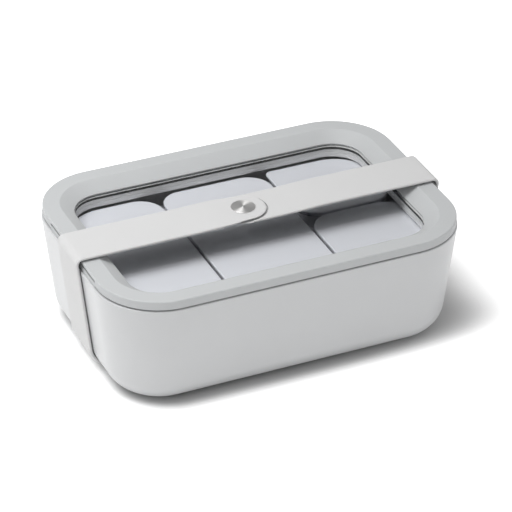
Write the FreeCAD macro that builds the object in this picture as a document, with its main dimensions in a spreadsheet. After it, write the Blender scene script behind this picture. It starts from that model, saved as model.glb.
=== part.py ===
"""A lunch box: a drafted tub with four lidded inserts, a windowed lid and a snap-fastened strap.

Millimetres. X runs along the box, -Y is the front, +Z is up. The origin is on the
table, under the middle of the box.
"""
import os

import FreeCAD
import Part
import Sketcher

doc = FreeCAD.newDocument("lunch_box")

# Driving dimensions

DIMENSIONS = {
    # lid: outline of its flat top, and its section from the outer edge to the window
    "lid_length": 229.0,
    "lid_width": 159.4,
    "lid_corner": 39.0,
    "lid_top": 77.0,
    "lid_side": 5.6,
    "lid_edge": 0.8,
    "rim_flat": 10.5,
    "bevel_run": 8.8,
    "bevel_drop": 5.8,
    "lip": 0.8,
    "skirt_play": 1.8,
    "skirt_wall": 2.4,
    "notch_length": 71.0,
    "notch_shift": -2.2,
    "notch_height": 1.4,
    "notch_depth": 4.0,
    "notch_lip": 2.0,
    "notch_lip_gap": 0.2,
    # window and the rings below it
    "glass": 2.6,
    "glass_overlap": 4.0,
    "seal": 1.0,
    "retainer": 3.2,
    "gasket": 3.1,
    "gasket_play": 1.45,
    # tub
    "tub_length": 231.6,
    "tub_width": 159.6,
    "tub_corner": 40.2,
    "tub_draft": 6.67,
    "tub_wall": 3.0,
    "tub_floor": 5.5,
    "tub_foot": 17.0,
    "tub_inner_foot": 14.0,
    "seam": 1.0,
    "groove_width": 40.0,
    "groove_clearance": 0.3,
    # inserts
    "insert_length": 201.0,
    "insert_width": 120.0,
    "insert_middle": 70.6,
    "insert_gap": 1.8,
    "insert_top": 59.2,
    "insert_corner": 16.0,
    "insert_outer_corner": 26.0,
    "insert_wall": 1.6,
    "insert_foot": 10.0,
    "insert_lid": 3.0,
    "insert_lid_edge": 0.8,
    "insert_plug": 3.0,
    "insert_rim_step": 0.8,
    "insert_clearance": 0.2,
    "plug_clearance": 0.3,
    # strap
    "strap_width": 31.2,
    "strap_thick": 1.8,
    "strap_shift": -3.7,
    "strap_lift": 1.1,
    "strap_bend": 2.5,
    "strap_foot_bend": 14.0,
    "strap_foot_lift": 0.6,
    "strap_arm_top": 116.9,
    "strap_arm_foot": 110.4,
    "strap_arm_split": 19.0,
    "tongue_thick": 1.2,
    "tongue_rise": 0.3,
    "tongue_gap": 0.3,
    "tongue_step": -25.0,
    "tongue_blend": 16.0,
    "tongue_play": 1.0,
    "tab_step": 13.0,
    # press stud
    "snap_place": -5.5,
    "cap_size": 15.0,
    "cap_thick": 0.8,
    "cap_dome": 0.3,
    "socket_size": 8.0,
    "socket_bore": 5.2,
    "stud_size": 4.8,
    "stud_height": 1.2,
    "post_shank": 3.0,
    "post_head": 6.5,
    "post_thick": 0.8,
}

sheet = doc.addObject("Spreadsheet::Sheet", "Dimensions")
for row, (alias, size) in enumerate(DIMENSIONS.items(), start=1):
    sheet.set(f"A{row}", alias)
    sheet.set(f"B{row}", str(size))
    sheet.setAlias(f"B{row}", alias)
doc.recompute()


def expression(text):
    """Return the text with each dimension's name pointing into the sheet."""
    words = []
    word = ""
    for letter in text + " ":
        if letter.isalpha() or letter == "_":
            word += letter
            continue
        words.append(f"Dimensions.{word}" if word in DIMENSIONS else word)
        words.append(letter)
        word = ""
    return "".join(words).strip()


def number(text):
    """Return the value that a dimension expression has now."""
    value = sheet.evalExpression(expression(text))
    return float(getattr(value, "Value", value))


# Levels and half sizes that several pieces share, as expressions of the dimensions

LID_X = "lid_length / 2"
LID_Y = "lid_width / 2"
SEAM_Z = "(lid_top - lid_side)"
TUB_Z = "(lid_top - lid_side - seam)"
GLASS_Z = "(lid_top - bevel_drop - lip)"
SEAL_Z = "(lid_top - bevel_drop - lip - glass)"
RETAINER_Z = "(lid_top - bevel_drop - lip - glass - seal)"
GASKET_Z = "(lid_top - bevel_drop - lip - glass - seal - retainer)"
GASKET_BASE_Z = "(lid_top - bevel_drop - lip - glass - seal - retainer - gasket)"
WINDOW_INSET = "(rim_flat + bevel_run)"
TUB_OUTLINE = ("tub_length / 2", "tub_width / 2", "tub_corner")
RUN_Z = "(lid_top + strap_lift)"
RUN_TOP_Z = "(lid_top + strap_lift + strap_thick)"
BEND_Z = "(lid_top + strap_lift - strap_bend)"
TONGUE_TOP_Z = "(lid_top + strap_lift + strap_thick + tongue_rise)"
TONGUE_Z = "(lid_top + strap_lift + strap_thick + tongue_rise - tongue_thick)"
TAB_TOP_Z = "(lid_top + strap_lift + strap_thick + tongue_rise - tongue_thick - tongue_gap)"
TAB_Z = "(lid_top + strap_lift + strap_thick + tongue_rise - 2 * tongue_thick - tongue_gap)"
INSERT_RIM_Z = "(insert_top - insert_lid - insert_clearance)"
INSERT_BASE_Z = "(tub_floor + insert_clearance)"
ARM_LEAN = f"((strap_arm_top - strap_arm_foot) / ({BEND_Z} - strap_arm_split))"
HALF_STRAP = "(strap_width / 2)"


# Sketch and feature helpers; moulds are the bodies that hollow pieces are cut from, and
# LEAST and NEAR are the differences under which sizes count as equal or close

moulds = []
HALF_CIRCLE = "half circle"
LEAST = 0.01
NEAR = 0.1


def new_body(name):
    body = doc.addObject("PartDesign::Body", name)
    body.Label = name
    return body


def hollow(node, outside, inside):
    """The outside body with the inside body cut from it."""
    shell = doc.addObject("Part::Cut", node)
    shell.Label = node
    shell.Base = outside
    shell.Tool = inside
    doc.recompute()
    moulds.extend((outside, inside))


def new_sketch(body, name, role, offset="0"):
    """A sketch on one of the body's origin planes, moved along the plane's normal."""
    sketch = body.newObject("Sketcher::SketchObject", f"{body.Name}_{name}")
    plane = [p for p in body.Origin.OriginFeatures if p.Role == role][0]
    sketch.AttachmentSupport = (plane, [""])
    sketch.MapMode = "FlatFace"
    sketch.setExpression("AttachmentOffset.Base.z", expression(offset))
    return sketch


def bind(sketch, kind, *where, size):
    """Add a dimensional constraint whose value follows an expression."""
    index = sketch.addConstraint(Sketcher.Constraint(kind, *where, number(size)))
    sketch.setExpression(f"Constraints[{index}]", expression(size))


def add_outline(sketch, x_low, x_high, y_low, y_high, radii):
    """A rounded rectangle; radii run from the corner at high x, high y, clockwise."""
    x0, x1, y0, y1 = (number(edge) for edge in (x_low, x_high, y_low, y_high))
    r = [number(radius) for radius in radii]
    point = FreeCAD.Vector
    quarter = FreeCAD.Units.Quantity("90 deg").getValueAs("rad").Value
    centres = [(x1 - r[0], y1 - r[0]), (x1 - r[1], y0 + r[1]),
               (x0 + r[2], y0 + r[2]), (x0 + r[3], y1 - r[3])]
    sides = [((x0 + r[3], y1), (x1 - r[0], y1)), ((x1, y1 - r[0]), (x1, y0 + r[1])),
             ((x1 - r[1], y0), (x0 + r[2], y0)), ((x0, y0 + r[2]), (x0, y1 - r[3]))]
    lines = [sketch.addGeometry(Part.LineSegment(point(*a, 0), point(*b, 0))) for a, b in sides]
    arcs = []
    for turn, (centre, radius) in enumerate(zip(centres, r)):
        circle = Part.Circle(point(*centre, 0), point(0, 0, 1), radius)
        arcs.append(sketch.addGeometry(
            Part.ArcOfCircle(circle, -turn * quarter, (1 - turn) * quarter)))
    for turn in range(4):
        sketch.addConstraint(Sketcher.Constraint("Tangent", lines[turn], 2, arcs[turn], 2))
        sketch.addConstraint(Sketcher.Constraint("Tangent", arcs[turn], 1, lines[(turn + 1) % 4], 1))
        sketch.addConstraint(Sketcher.Constraint(("Horizontal", "Vertical")[turn % 2], lines[turn]))
        bind(sketch, "Radius", arcs[turn], size=radii[turn])
    for line, kind, edge in zip(lines, ("DistanceY", "DistanceX") * 2, (y_high, x_high, y_low, x_low)):
        bind(sketch, kind, -1, 1, line, 1, size=edge)


def add_ring_outline(sketch, inset, half_x=LID_X, half_y=LID_Y, corner="lid_corner"):
    """A rounded rectangle about the origin, drawn in by an inset."""
    add_outline(sketch, f"-({half_x} - {inset})", f"{half_x} - {inset}",
                f"-({half_y} - {inset})", f"{half_y} - {inset}", [f"{corner} - {inset}"] * 4)


def add_profile(sketch, points, arcs=None):
    """A closed outline through points; arcs[i] = (radius, left) bends the side after point i.

    Left says that the arc's centre is on the left of the way from point to point. A radius
    of HALF_CIRCLE makes a half circle on an upright side.
    """
    arcs = arcs or {}
    places = [FreeCAD.Vector(number(x), number(y), 0) for x, y in points]
    for i, start in enumerate(places):
        end = places[(i + 1) % len(places)]
        if i not in arcs:
            sketch.addGeometry(Part.LineSegment(start, end))
            continue
        chord = end - start
        size, left = arcs[i]
        radius = chord.Length / 2 if size == HALF_CIRCLE else number(size)
        across = FreeCAD.Vector(-chord.y, chord.x, 0).normalize() * (1 if left else -1)
        centre = start + chord * 0.5 + across * max(radius**2 - chord.Length**2 / 4, 0) ** 0.5
        middle = centre - across * radius
        sketch.addGeometry(Part.Arc(start, middle, end))
    for i, (x, y) in enumerate(points):
        after = (i + 1) % len(points)
        first = 1 if i not in arcs or arcs[i][1] else 2
        last = 3 - first
        following = 1 if after not in arcs or arcs[after][1] else 2
        sketch.addConstraint(Sketcher.Constraint("Coincident", i, last, after, following))
        bind(sketch, "DistanceX", -1, 1, i, first, size=x)
        bind(sketch, "DistanceY", -1, 1, i, first, size=y)
        if i in arcs and arcs[i][0] == HALF_CIRCLE:
            bind(sketch, "DistanceX", -1, 1, i, 3, size=x)
        elif i in arcs:
            bind(sketch, "Radius", i, size=arcs[i][0])


def add_circle(sketch, centre_x, diameter):
    """A circle on the sketch's X axis."""
    centre = FreeCAD.Vector(number(centre_x), 0, 0)
    circle = sketch.addGeometry(Part.Circle(centre, FreeCAD.Vector(0, 0, 1), number(diameter) / 2))
    sketch.addConstraint(Sketcher.Constraint("PointOnObject", circle, 3, -1))
    bind(sketch, "DistanceX", -1, 1, circle, 3, size=centre_x)
    bind(sketch, "Diameter", circle, size=diameter)


def feature(body, kind, sketch, length=None, down=False, taper=None, both_ways=False):
    """A Pad or Pocket of a sketch, checked to have changed the body's volume."""
    doc.recompute()
    before = body.Shape.Volume if body.Tip else 0.0
    made = body.newObject(f"PartDesign::{kind}", f"{sketch.Name}_{kind.lower()}")
    made.Profile = sketch
    if length is None:
        made.Type = "ThroughAll"
    else:
        made.setExpression("Length", expression(length))
    made.Reversed = down
    if both_ways:
        made.SideType = "Symmetric"
    if taper:
        made.setExpression("TaperAngle", expression(taper))
    doc.recompute()
    if abs(body.Shape.Volume - before) < LEAST:
        raise RuntimeError(f"{made.Name} changes nothing")
    return made


def edges_at(shape, height, half_x=None, half_y=None):
    """Names of the level edges at a height, or of those on an outline of given half sizes."""
    names = []
    for i, edge in enumerate(shape.Edges, start=1):
        box = edge.BoundBox
        level = max(abs(box.ZMin - height), abs(box.ZMax - height)) < LEAST
        outer = half_x is None or (
            max(box.XMax, -box.XMin) > half_x - NEAR or max(box.YMax, -box.YMin) > half_y - NEAR)
        if level and outer:
            names.append(f"Edge{i}")
    return names


def fillet(body, edges, radius):
    tip = body.Tip
    made = body.newObject("PartDesign::Fillet", f"{tip.Name}_fillet")
    made.Base = (tip, edges)
    made.setExpression("Radius", expression(radius))
    doc.recompute()
    if "Invalid" in made.State:
        raise RuntimeError(f"{made.Name} cannot be rounded")


def revolve(body, points, arcs=None):
    """A solid of revolution about the body's own Z axis."""
    section = new_sketch(body, "section", "XZ_Plane")
    add_profile(section, points, arcs)
    doc.recompute()
    made = body.newObject("PartDesign::Revolution", f"{body.Name}_turned")
    made.Profile = section
    made.ReferenceAxis = (section, ["V_Axis"])
    doc.recompute()


def place(body, **where):
    """Set a body's place by expressions, one for each axis named."""
    for axis, size in where.items():
        body.setExpression(f"Placement.Base.{axis}", expression(size))


def arm_x(outset, level):
    """Where the strap's right arm is at a level: its inner face, or a face set out from it."""
    return f"(strap_arm_foot + {outset} + ({level} - strap_arm_split) * {ARM_LEAN})"


def foot_bend(outset, level, radius):
    """Where one face of the strap leaves the bottom run and where it joins the right arm."""
    slant = f"sqrt(1 + {ARM_LEAN} ^ 2)"
    corner = arm_x(outset, level)
    reach = f"({radius} * ({slant} - {ARM_LEAN}))"
    on_run = (f"{corner} - {reach}", level)
    on_arm = (f"{corner} + {reach} * {ARM_LEAN} / {slant}", f"{level} + {reach} / {slant}")
    return on_run, on_arm


def mirrored(points):
    """The same points on the left, in the opposite order."""
    return [(f"-({x})", z) for x, z in reversed(points)]


# Tub: drafted shell with a rounded foot, and a groove under it for the strap

tub_outside = new_body("tub_outside")
outside = new_sketch(tub_outside, "outline", "XY_Plane", TUB_Z)
add_ring_outline(outside, "0", *TUB_OUTLINE)
feature(tub_outside, "Pad", outside, TUB_Z, down=True, taper="-tub_draft")
fillet(tub_outside, edges_at(tub_outside.Shape, 0), "tub_foot")

groove_top = "(strap_foot_lift + strap_thick + groove_clearance)"
groove_inset = "(-groove_clearance)"
groove_height = "(2 * strap_arm_split)"
groove_run, groove_arm = foot_bend(groove_inset, groove_top, "strap_foot_bend")
right_side = [("tub_length", "-tub_floor"), ("tub_length", groove_height),
              (arm_x(groove_inset, groove_height), groove_height), groove_arm, groove_run]
groove = new_sketch(tub_outside, "groove", "XZ_Plane")
add_profile(groove, right_side + mirrored(right_side),
            {3: ("strap_foot_bend", False), 5: ("strap_foot_bend", False)})
feature(tub_outside, "Pocket", groove, "groove_width", both_ways=True)

tub_inside = new_body("tub_inside")
inside = new_sketch(tub_inside, "outline", "XY_Plane", TUB_Z)
add_ring_outline(inside, "tub_wall", *TUB_OUTLINE)
feature(tub_inside, "Pad", inside, f"{TUB_Z} - tub_floor", down=True, taper="-tub_draft")
fillet(tub_inside, edges_at(tub_inside.Shape, number("tub_floor")), "tub_inner_foot")

hollow("box_body", tub_outside, tub_inside)

# Lid frame: flat rim, bevel down to the window, skirt into the tub, and at each end a lift
# notch over a lip that closes the seam

frame = new_body("lid_frame")
rim = new_sketch(frame, "rim", "XY_Plane", "lid_top")
add_ring_outline(rim, "0")
feature(frame, "Pad", rim, "lid_side", down=True)

skirt = new_sketch(frame, "skirt", "XY_Plane", SEAM_Z)
add_ring_outline(skirt, "(tub_wall + skirt_play)", *TUB_OUTLINE)
feature(frame, "Pad", skirt, f"{SEAM_Z} - {RETAINER_Z}", down=True)

bevel = new_sketch(frame, "bevel", "XY_Plane", "lid_top")
add_ring_outline(bevel, "rim_flat")
feature(frame, "Pocket", bevel, "bevel_drop", taper="-atan(bevel_run / bevel_drop)")

opening = new_sketch(frame, "opening", "XY_Plane", "lid_top")
add_ring_outline(opening, WINDOW_INSET)
feature(frame, "Pocket", opening)

seat = new_sketch(frame, "seat", "XY_Plane", RETAINER_Z)
add_ring_outline(seat, "(tub_wall + skirt_play + skirt_wall)", *TUB_OUTLINE)
feature(frame, "Pocket", seat, f"{GLASS_Z} - {RETAINER_Z}", down=True)

notch_near = f"({LID_X} - notch_depth)"
notch_far = f"({LID_X} + notch_depth)"
notch_front = "(notch_shift - notch_length / 2)"
notch_back = "(notch_shift + notch_length / 2)"
for side, low, high, lip_low, lip_high in (
        ("left", f"-{notch_far}", f"-{notch_near}", f"-{LID_X}", f"-{notch_near}"),
        ("right", notch_near, notch_far, notch_near, LID_X)):
    lip = new_sketch(frame, f"{side}_lip", "XY_Plane", SEAM_Z)
    add_outline(lip, lip_low, lip_high, notch_front, notch_back, ["lid_edge"] * 4)
    feature(frame, "Pad", lip, "seam - notch_lip_gap", down=True)
    notch = new_sketch(frame, f"{side}_notch", "XY_Plane", f"{SEAM_Z} + notch_lip")
    add_outline(notch, low, high, notch_front, notch_back, ["lid_edge"] * 4)
    feature(frame, "Pocket", notch, "notch_height", down=True)

fillet(frame, edges_at(frame.Shape, number("lid_top"), number(LID_X), number(LID_Y)), "lid_edge")

# Window pane, and the rings below it: dark seal, retainer and soft gasket

pane = new_body("lid_window")
pane_outline = new_sketch(pane, "outline", "XY_Plane", SEAL_Z)
add_ring_outline(pane_outline, f"({WINDOW_INSET} - glass_overlap)")
feature(pane, "Pad", pane_outline, "glass")

seal = new_body("window_seal")
seal_outline = new_sketch(seal, "outline", "XY_Plane", RETAINER_Z)
add_ring_outline(seal_outline, f"({WINDOW_INSET} - glass_overlap)")
add_ring_outline(seal_outline, WINDOW_INSET)
feature(seal, "Pad", seal_outline, "seal")

for node, level, thickness, play in (("window_retainer", GASKET_Z, "retainer", "skirt_play"),
                                     ("lid_gasket", GASKET_BASE_Z, "gasket", "gasket_play")):
    ring = new_body(node)
    ring_outline = new_sketch(ring, "outline", "XY_Plane", level)
    add_ring_outline(ring_outline, f"(tub_wall + {play})", *TUB_OUTLINE)
    add_ring_outline(ring_outline, WINDOW_INSET)
    feature(ring, "Pad", ring_outline, thickness)

# Four inserts: cups with rounded feet, each under a flat lid with a plug

outer_x = "insert_length / 2"
outer_y = "insert_width / 2"
middle_x = "insert_middle / 2"
column_x = "(insert_middle / 2 + insert_gap)"
near_y = "insert_gap / 2"
inner, outer = "insert_corner", "insert_outer_corner"
INSERTS = {
    "left_insert": (f"-{outer_x}", f"-{column_x}", f"-{outer_y}", outer_y, (inner, inner, outer, outer)),
    "middle_insert": (f"-{middle_x}", middle_x, f"-{outer_y}", outer_y, (inner,) * 4),
    "right_rear_insert": (column_x, outer_x, near_y, outer_y, (outer, outer, inner, inner)),
    "right_front_insert": (column_x, outer_x, f"-{outer_y}", f"-{near_y}", (outer, outer, inner, inner)),
}


def add_insert_outline(sketch, node, inset):
    x_low, x_high, y_low, y_high, radii = INSERTS[node]
    add_outline(sketch, f"{x_low} + {inset}", f"{x_high} - {inset}", f"{y_low} + {inset}",
                f"{y_high} - {inset}", [f"{radius} - {inset}" for radius in radii])


for node in INSERTS:
    cup_outside = new_body(f"{node}_outside")
    cup_outline = new_sketch(cup_outside, "outline", "XY_Plane", INSERT_BASE_Z)
    add_insert_outline(cup_outline, node, "insert_rim_step")
    feature(cup_outside, "Pad", cup_outline, f"{INSERT_RIM_Z} - {INSERT_BASE_Z}")
    fillet(cup_outside, edges_at(cup_outside.Shape, number(INSERT_BASE_Z)), "insert_foot")

    cup_inside = new_body(f"{node}_inside")
    cup_floor = f"({INSERT_BASE_Z} + insert_wall)"
    cup_outline = new_sketch(cup_inside, "outline", "XY_Plane", cup_floor)
    add_insert_outline(cup_outline, node, "(insert_rim_step + insert_wall)")
    feature(cup_inside, "Pad", cup_outline, f"{INSERT_RIM_Z} - {cup_floor}")
    fillet(cup_inside, edges_at(cup_inside.Shape, number(cup_floor)), "insert_foot - insert_wall")
    hollow(node, cup_outside, cup_inside)

    cover = new_body(f"{node}_lid")
    cover_outline = new_sketch(cover, "outline", "XY_Plane", "insert_top - insert_lid")
    add_insert_outline(cover_outline, node, "0")
    feature(cover, "Pad", cover_outline, "insert_lid")
    plug = new_sketch(cover, "plug", "XY_Plane", "insert_top - insert_lid")
    add_insert_outline(plug, node, "(insert_rim_step + insert_wall + plug_clearance)")
    feature(cover, "Pad", plug, "insert_plug", down=True)
    fillet(cover, edges_at(cover.Shape, number("insert_top")), "insert_lid_edge")

# Strap: a band under the tub, an arm up each end, and two ends that lap over the lid

outer_foot_radius = "(strap_foot_bend + strap_thick)"
foot_outer_run, foot_outer_arm = foot_bend("strap_thick", "strap_foot_lift", outer_foot_radius)
foot_inner_run, foot_inner_arm = foot_bend("0", "(strap_foot_lift + strap_thick)", "strap_foot_bend")
right_foot = [foot_outer_run, foot_outer_arm,
              (arm_x("strap_thick", "strap_arm_split"), "strap_arm_split"),
              (arm_x("0", "strap_arm_split"), "strap_arm_split"), foot_inner_arm, foot_inner_run]
strap_base = new_body("strap_base")
base_section = new_sketch(strap_base, "section", "XZ_Plane")
add_profile(base_section, right_foot + mirrored(right_foot),
            {0: (outer_foot_radius, True), 4: ("strap_foot_bend", False),
             6: ("strap_foot_bend", False), 10: (outer_foot_radius, True)})
feature(strap_base, "Pad", base_section, "strap_width", both_ways=True)
place(strap_base, y="strap_shift")

right_arm = [(arm_x("0", "strap_arm_split"), "strap_arm_split"),
             (arm_x("strap_thick", "strap_arm_split"), "strap_arm_split"),
             (arm_x("strap_thick", BEND_Z), BEND_Z), (arm_x("0", BEND_Z), BEND_Z)]
for node, section in (("strap_right_arm", right_arm), ("strap_left_arm", mirrored(right_arm))):
    arm = new_body(node)
    arm_section = new_sketch(arm, "section", "XZ_Plane")
    add_profile(arm_section, section)
    feature(arm, "Pad", arm_section, "strap_width", both_ways=True)
    place(arm, y="strap_shift")

outer_bend = "strap_bend + strap_thick"
bend_x = "(strap_arm_top - strap_bend)"
right_bend = [("strap_arm_top", BEND_Z), ("strap_arm_top + strap_thick", BEND_Z), (bend_x, RUN_TOP_Z)]
left_bend = mirrored(right_bend)

tongue_tip = f"(snap_place + {HALF_STRAP})"
tongue = new_body("strap_tongue")
tongue_section = new_sketch(tongue, "section", "XZ_Plane")
add_profile(tongue_section, left_bend + [
    (f"-{bend_x}", RUN_Z), ("tongue_step", RUN_Z), ("tongue_step + tongue_thick", TONGUE_Z),
    (tongue_tip, TONGUE_Z), (tongue_tip, TONGUE_TOP_Z), ("tongue_step", TONGUE_TOP_Z),
    ("tongue_step - tongue_blend", RUN_TOP_Z)],
    {0: (outer_bend, True), 2: ("strap_bend", False)})
feature(tongue, "Pad", tongue_section, "strap_width", both_ways=True)
above_all = "(2 * lid_top)"
past_tongue = f"({tongue_tip} + strap_thick)"
tongue_end = new_sketch(tongue, "end", "XY_Plane", above_all)
add_profile(tongue_end, [("snap_place", f"-{HALF_STRAP}"), (past_tongue, f"-{HALF_STRAP}"),
                         (past_tongue, HALF_STRAP), ("snap_place", HALF_STRAP)],
            {3: (HALF_CIRCLE, False)})
feature(tongue, "Pocket", tongue_end)
socket_hole = new_sketch(tongue, "socket_hole", "XY_Plane", above_all)
add_circle(socket_hole, "snap_place", "socket_size")
feature(tongue, "Pocket", socket_hole)
place(tongue, y="strap_shift")

tab_end_x = f"(snap_place - {HALF_STRAP})"
tab = new_body("strap_tab")
tab_section = new_sketch(tab, "section", "XZ_Plane")
add_profile(tab_section, right_bend + [
    (tab_end_x, RUN_TOP_Z), (tab_end_x, TAB_Z), ("tab_step", TAB_Z),
    ("tab_step + tongue_blend", RUN_Z), (bend_x, RUN_Z)],
    {1: (outer_bend, True), 7: ("strap_bend", False)})
feature(tab, "Pad", tab_section, "strap_width", both_ways=True)
recess_radius = f"({HALF_STRAP} + tongue_play)"
past_tab = f"({tab_end_x} - strap_thick)"
tab_recess = new_sketch(tab, "recess", "XY_Plane", RUN_TOP_Z)
add_profile(tab_recess, [("snap_place", recess_radius), (past_tab, recess_radius),
                         (past_tab, f"-{recess_radius}"), ("snap_place", f"-{recess_radius}")],
            {3: (HALF_CIRCLE, True)})
feature(tab, "Pocket", tab_recess, f"{RUN_TOP_Z} - {TAB_TOP_Z}")
tab_end = new_sketch(tab, "end", "XY_Plane", above_all)
add_profile(tab_end, [("snap_place", HALF_STRAP), (past_tab, HALF_STRAP),
                      (past_tab, f"-{HALF_STRAP}"), ("snap_place", f"-{HALF_STRAP}")],
            {3: (HALF_CIRCLE, False)})
feature(tab, "Pocket", tab_end)
post_hole = new_sketch(tab, "post_hole", "XY_Plane", above_all)
add_circle(post_hole, "snap_place", "post_shank")
feature(tab, "Pocket", post_hole)
place(tab, y="strap_shift")

# Press stud: cap and socket on the tongue, stud and post on the tab

cap = new_body("snap_cap")
revolve(cap, [("0", "0"), ("cap_size / 2", "0"),
              ("cap_size / 2", "cap_thick - cap_dome"), ("0", "cap_thick")],
        {2: ("((cap_size / 2) ^ 2 + cap_dome ^ 2) / (2 * cap_dome)", True)})
place(cap, x="snap_place", y="strap_shift", z=TONGUE_TOP_Z)

socket = new_body("snap_socket")
revolve(socket, [("socket_bore / 2", "0"), ("socket_size / 2", "0"),
                 ("socket_size / 2", "tongue_thick"), ("socket_bore / 2", "tongue_thick")])
place(socket, x="snap_place", y="strap_shift", z=TONGUE_Z)

stud = new_body("snap_stud")
revolve(stud, [("0", "0"), ("stud_size / 2", "0"), ("0", "stud_height")],
        {1: ("((stud_size / 2) ^ 2 + stud_height ^ 2) / (2 * stud_height)", True)})
place(stud, x="snap_place", y="strap_shift", z=TAB_TOP_Z)

post = new_body("snap_post")
revolve(post, [("0", "-post_thick"), ("post_head / 2", "-post_thick"), ("post_head / 2", "0"),
               ("post_shank / 2", "0"), ("post_shank / 2", "tongue_thick"), ("0", "tongue_thick")])
place(post, x="snap_place", y="strap_shift", z=TAB_Z)

# Check every object, then write each piece to its own file

doc.recompute()
for thing in doc.Objects:
    if "Invalid" in thing.State or "Error" in thing.State:
        raise RuntimeError(f"{thing.Label} did not compute: {thing.State}")
solids = ("PartDesign::Body", "Part::Cut")
pieces = [thing for thing in doc.Objects if thing.TypeId in solids and thing not in moulds]
for piece in pieces:
    if piece.Shape.isNull() or not piece.Shape.isValid() or len(piece.Shape.Solids) != 1:
        raise RuntimeError(f"{piece.Label} is not one valid solid")

os.makedirs("parts", exist_ok=True)
for piece in pieces:
    piece.Shape.exportStep(f"parts/{piece.Label}.step")
    print(piece.Label, round(piece.Shape.Volume), "mm3")
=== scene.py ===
import math

import bmesh
import bpy
from mathutils import Matrix, Vector


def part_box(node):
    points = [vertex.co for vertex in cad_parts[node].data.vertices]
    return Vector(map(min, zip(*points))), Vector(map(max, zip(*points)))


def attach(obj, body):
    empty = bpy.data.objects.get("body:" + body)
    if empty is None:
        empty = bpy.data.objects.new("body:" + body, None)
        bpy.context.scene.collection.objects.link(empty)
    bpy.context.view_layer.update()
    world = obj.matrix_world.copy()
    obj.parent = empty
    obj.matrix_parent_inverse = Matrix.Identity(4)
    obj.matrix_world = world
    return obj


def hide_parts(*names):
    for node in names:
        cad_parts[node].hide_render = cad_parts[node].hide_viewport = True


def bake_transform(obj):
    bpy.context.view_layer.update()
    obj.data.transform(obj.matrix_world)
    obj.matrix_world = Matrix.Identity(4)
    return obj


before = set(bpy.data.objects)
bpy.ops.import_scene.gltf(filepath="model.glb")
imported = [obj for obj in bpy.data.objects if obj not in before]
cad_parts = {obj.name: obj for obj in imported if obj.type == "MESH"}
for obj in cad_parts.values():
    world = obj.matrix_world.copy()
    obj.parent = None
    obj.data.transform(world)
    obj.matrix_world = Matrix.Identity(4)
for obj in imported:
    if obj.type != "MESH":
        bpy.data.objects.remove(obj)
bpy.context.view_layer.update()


# Tub
# A deep drafted shell with broad corners and a rounded foot, pressed and coated in a pale grey satin finish.
# A shallow channel crosses its underside and the feet of its two ends, where the strap lies in it.

TUB_CORNER = 0.0402
TUB_DRAFT = math.tan(math.radians(6.67))
TUB_WALL = 0.003
TUB_FLOOR = 0.0055
TUB_FOOT = 0.017
TUB_FOOT_INSIDE = 0.014
TUB_RIM_ROUND = 0.0008
TUB_RIM_EDGE = 0.0006
TUB_FLOOR_REACH = 0.030
CHANNEL_BESIDE = 0.0008
CHANNEL_ROOM = 0.0003
CHANNEL_PAST = 0.001
STRAP_THICK = 0.0018
STRAP_FOOT_BEND = 0.0149
MEETING = 2e-6
SHARP = math.radians(38)
CLOUD = 45.0
GLOSS_SPREAD = 0.05


def add(tree, kind, inputs=None, **settings):
    """A node with its settings; each input is another node's output or a plain value."""
    node = tree.nodes.new(kind)
    for key, value in settings.items():
        setattr(node, key, value)
    for socket, value in (inputs or {}).items():
        if isinstance(value, bpy.types.NodeSocket):
            tree.links.new(value, node.inputs[socket])
        else:
            node.inputs[socket].default_value = value
    return node


def new_tree(name, inputs):
    """An empty geometry tree with its named inputs, and the outputs of its input node."""
    tree = bpy.data.node_groups.new(name, "GeometryNodeTree")
    for label, kind in inputs:
        tree.interface.new_socket(label, in_out="INPUT", socket_type="NodeSocket" + kind)
    tree.interface.new_socket("Piece", in_out="OUTPUT", socket_type="NodeSocketGeometry")
    return tree, add(tree, "NodeGroupInput").outputs


def end_tree(tree, shape, material):
    """The end of every geometry tree: instances made real, and the finish set."""
    real = add(tree, "GeometryNodeRealizeInstances", {"Geometry": shape})
    coated = add(tree, "GeometryNodeSetMaterial", {"Geometry": real.outputs[0], "Material": material})
    add(tree, "NodeGroupOutput", {"Piece": coated.outputs[0]})
    return tree


def rounded_line(tree, drawn, steps):
    """Drawn edges as a line, with every corner rounded by its own bend radius."""
    bend = add(tree, "GeometryNodeInputNamedAttribute", {"Name": "bend"}, data_type="FLOAT")
    line = add(tree, "GeometryNodeMeshToCurve", {"Mesh": drawn})
    sizes = {"Curve": line.outputs[0], "Count": steps, "Radius": bend.outputs["Attribute"]}
    return add(tree, "GeometryNodeFilletCurve", sizes, mode="POLY").outputs[0]


def sweep_tree():
    """A drawn section swept along a drawn outline."""
    tree, given = new_tree("swept section", (
        ("Outline", "Geometry"), ("Section", "Object"), ("Outline Steps", "Int"),
        ("Section Steps", "Int"), ("Material", "Material")))
    drawn = add(tree, "GeometryNodeObjectInfo", {"Object": given["Section"]})
    outline = rounded_line(tree, given["Outline"], given["Outline Steps"])
    section = rounded_line(tree, drawn.outputs["Geometry"], given["Section Steps"])
    skin = add(tree, "GeometryNodeCurveToMesh", {"Curve": outline, "Profile Curve": section})
    return end_tree(tree, skin.outputs[0], given["Material"])


SWEEP = sweep_tree()


def drawn_line(name, points, closed):
    """Edges through points; each point is a place and the radius of its bend."""
    mesh = bpy.data.meshes.new(name)
    count = len(points)
    edges = [(i, (i + 1) % count) for i in range(count if closed else count - 1)]
    mesh.from_pydata([place for place, bend in points], edges, [])
    mesh.attributes.new("bend", "FLOAT", "POINT").data.foreach_set("value", [bend for place, bend in points])
    return placed(name, mesh)


def placed(name, mesh):
    """A mesh as an object of the scene, at the origin."""
    thing = bpy.data.objects.new(name, mesh)
    bpy.context.scene.collection.objects.link(thing)
    return thing


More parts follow.
